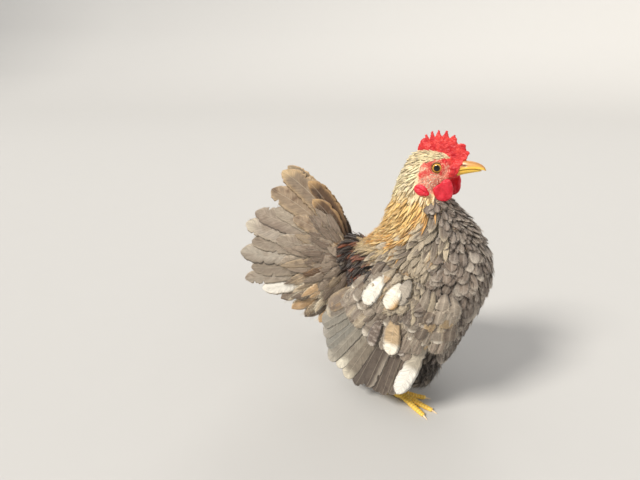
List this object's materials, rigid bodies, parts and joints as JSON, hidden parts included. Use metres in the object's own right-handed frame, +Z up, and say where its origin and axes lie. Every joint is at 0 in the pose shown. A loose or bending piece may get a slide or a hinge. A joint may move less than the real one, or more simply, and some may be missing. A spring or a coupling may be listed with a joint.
{
  "type": "serama chicken, life-size still model",
  "caption": "Small upright chicken standing still: red comb and wattles, full breast, wings held straight down, raised fan tail.",
  "frame": {"origin": "on the floor, under the middle of the bird's box", "axes": "+X towards the bill, +Y to the bird's left, +Z up"},
  "size_m": [0.2086, 0.1078, 0.2239],
  "materials": {
    "face_skin": "pink-red bare skin with cream bristles and cream feathering behind the eye",
    "comb": "saturated red, finely pebbled flesh",
    "hackle": "narrow buff and cream feathers",
    "body_feather": "grey-brown rounded feathers with pale centres and tips",
    "wing_feather": "grey feathers with white and buff tips",
    "tail_feather": "greige feathers with pale edges",
    "leg_scale": "yellow scaled skin",
    "claw": "pale horn",
    "bill": "yellow horn, browner along the ridge",
    "eye": "amber iris with a black pupil"
  },
  "bodies": {
    "root": {"head": "face_skin", "neck": "hackle", "torso": "body_feather", "tail_left": "tail_feather", "tail_right": "tail_feather", "wing_left": "wing_feather", "wing_right": "wing_feather", "thigh_left": "body_feather", "thigh_right": "body_feather", "shank_left": "leg_scale", "shank_right": "leg_scale", "foot_left": "leg_scale", "foot_right": "leg_scale", "claw_inner_left": "claw", "claw_middle_left": "claw", "claw_outer_left": "claw", "claw_hind_left": "claw", "claw_inner_right": "claw", "claw_middle_right": "claw", "claw_outer_right": "claw", "claw_hind_right": "claw", "comb": "comb", "wattle_left": "comb", "wattle_right": "comb", "earlobe_left": "comb", "earlobe_right": "comb", "eye_left": "eye", "eye_right": "eye", "bill_upper": "bill", "bill_lower": "bill"}
  },
  "joints": []
}
